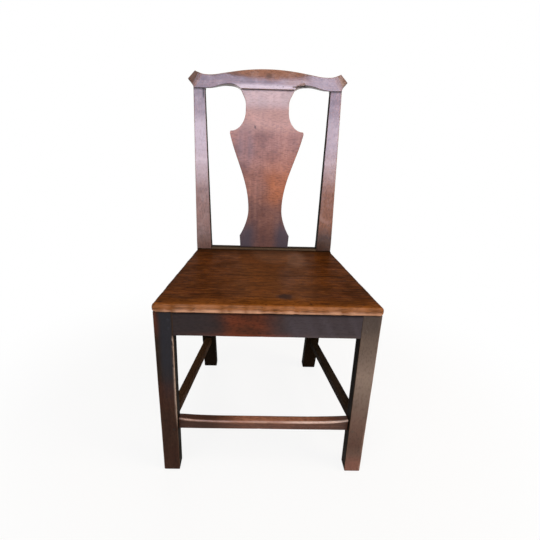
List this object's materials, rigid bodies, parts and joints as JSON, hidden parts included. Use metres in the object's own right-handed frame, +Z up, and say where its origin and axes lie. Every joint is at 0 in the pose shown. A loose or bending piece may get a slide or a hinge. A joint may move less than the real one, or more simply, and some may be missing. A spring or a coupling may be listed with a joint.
{
  "type": "splat back chair",
  "caption": "Wooden side chair with a raked vase splat back, an eared crest rail, a solid board seat, square legs and low stretchers.",
  "frame": {"origin": "on the floor, under the middle of the chair's bounding box", "axes": "+Z up, -Y the way the chair faces, +X to the right as seen from in front"},
  "size_m": [0.4908, 0.5356, 0.9498],
  "materials": {
    "dark_frame": "dark stained oak, waxed and rubbed",
    "back": "stained oak, waxed to a bright polish",
    "seat": "stained oak board, worn by sitting, waxed",
    "splat": "oak, faded and waxed",
    "bare_wood": "sawn oak, unfinished, darkened by age",
    "peg": "riven oak, stained with the frame",
    "iron": "hand forged iron, dark"
  },
  "bodies": {
    "root": {"back_post_left": "back", "back_post_right": "back", "back_rail_peg_left": "peg", "back_rail_peg_right": "peg", "back_seat_rail": "dark_frame", "back_stretcher": "dark_frame", "back_stretcher_peg_left": "peg", "back_stretcher_peg_right": "peg", "corner_brace_back_left": "bare_wood", "corner_brace_back_right": "bare_wood", "corner_brace_front_left": "bare_wood", "corner_brace_front_right": "bare_wood", "crest_peg_left": "peg", "crest_peg_right": "peg", "crest_rail": "back", "front_leg_left": "dark_frame", "front_leg_right": "dark_frame", "front_nail_inner_left": "iron", "front_nail_inner_right": "iron", "front_nail_outer_left": "iron", "front_nail_outer_right": "iron", "front_rail_peg_lower_left": "peg", "front_rail_peg_lower_right": "peg", "front_rail_peg_upper_left": "peg", "front_rail_peg_upper_right": "peg", "front_seat_rail": "dark_frame", "front_stretcher": "dark_frame", "front_stretcher_peg_left": "peg", "front_stretcher_peg_right": "peg", "seat_board_back": "seat", "seat_board_front": "seat", "shoe": "back", "side_nail_back_left": "iron", "side_nail_back_right": "iron", "side_nail_front_left": "iron", "side_nail_front_right": "iron", "side_rail_peg_back_left": "peg", "side_rail_peg_back_right": "peg", "side_rail_peg_front_left": "peg", "side_rail_peg_front_right": "peg", "side_seat_rail_left": "dark_frame", "side_seat_rail_right": "dark_frame", "side_stretcher_left": "dark_frame", "side_stretcher_peg_back_left": "peg", "side_stretcher_peg_back_right": "peg", "side_stretcher_peg_front_left": "peg", "side_stretcher_peg_front_right": "peg", "side_stretcher_right": "dark_frame", "splat": "splat"}
  },
  "joints": []
}
